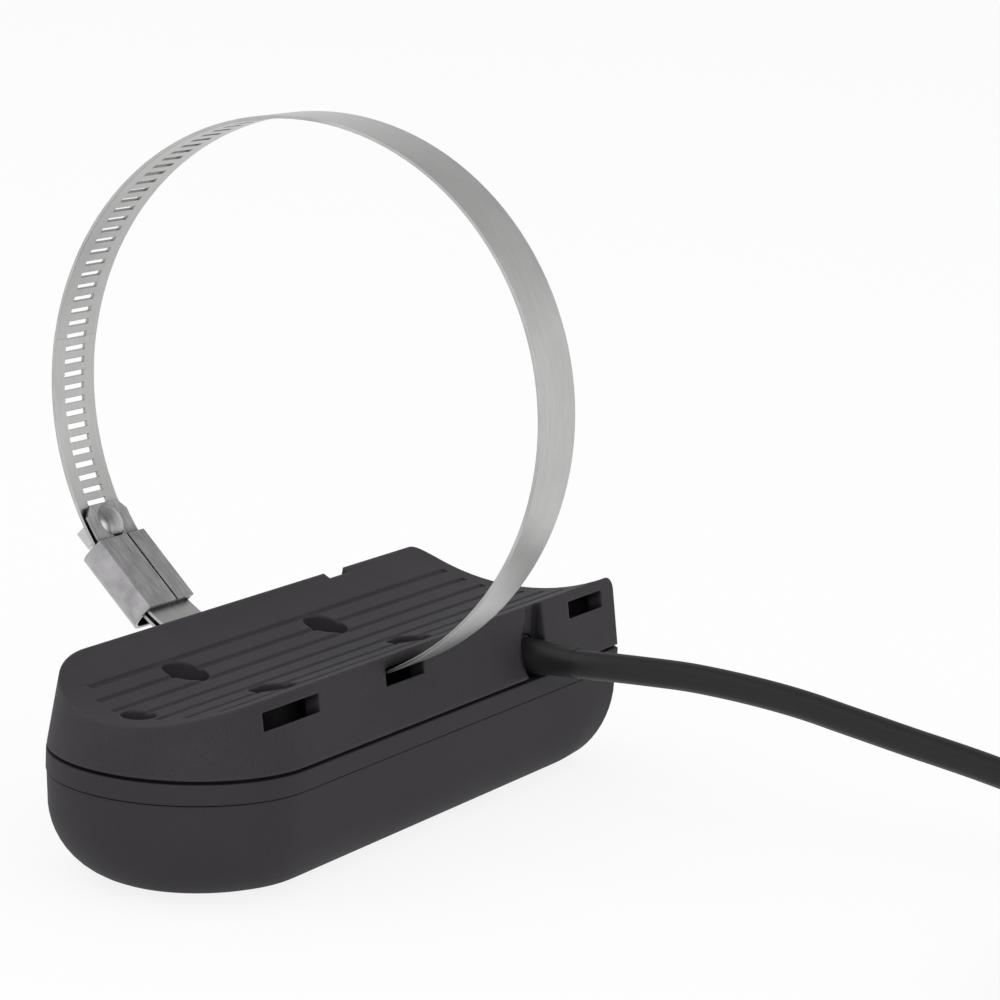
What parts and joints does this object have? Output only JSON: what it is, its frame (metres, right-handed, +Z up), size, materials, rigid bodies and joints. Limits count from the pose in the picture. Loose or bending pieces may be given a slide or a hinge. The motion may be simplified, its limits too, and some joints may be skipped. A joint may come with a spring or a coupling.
{
  "type": "sonar transducer",
  "caption": "Boat-shaped sonar transducer with a saddle cradle, a slotted worm-drive band clamp for a trolling motor, and a coiled cable with a plug.",
  "frame": {"origin": "centre of the flat sole, half-way along the body", "axes": "+Z up through the saddle, +Y along the body towards the square rear end, +X towards the side where the cable leaves"},
  "size_m": [0.3184, 0.1434, 0.132],
  "materials": {
    "housing": "fine-grained moulded",
    "cradle": "fine-grained moulded",
    "screw_steel": "plain",
    "piezo": "silvered ceramic",
    "foam": "cork-filled",
    "board": "solder resist",
    "ferrite": "matte",
    "probe_brass": "plain",
    "lead_sleeve": "extruded",
    "cable_rubber": "satin jacket",
    "tie": "woven",
    "plug": "moulded",
    "seal": "silicone",
    "insert": "moulded",
    "band_steel": "satin rolled",
    "worm_steel": "plated"
  },
  "bodies": {
    "transducer": {"housing_cup": "housing", "housing_cover": "housing", "mount_cradle": "cradle", "cradle_screws": "screw_steel", "sounding_disc": "piezo", "disc_foam": "foam", "side_bars": "piezo", "down_bar": "piezo", "bar_foam": "foam", "circuit_board": "board", "board_screws": "screw_steel", "tuning_choke": "ferrite", "temperature_probe": "probe_brass", "disc_leads": "lead_sleeve", "core_wires": "lead_sleeve", "cable_boot": "cable_rubber", "cable": "cable_rubber", "cable_coil": "cable_rubber", "cable_tail": "cable_rubber", "cable_tie": "tie", "plug_boot": "cable_rubber", "plug_shell": "plug", "plug_seal": "seal", "plug_insert": "insert", "plug_pins": "probe_brass", "clamp_band": "band_steel", "clamp_saddle": "band_steel", "clamp_housing": "band_steel"},
    "worm": {"worm_screw": "worm_steel"}
  },
  "joints": [
    {"name": "worm_turn", "type": "hinge", "parent": "transducer", "child": "worm", "pos_m": [-0.03694, -0.0114, 0.04089], "axis": [0.7314, 0, -0.682], "continuous": true}
  ]
}
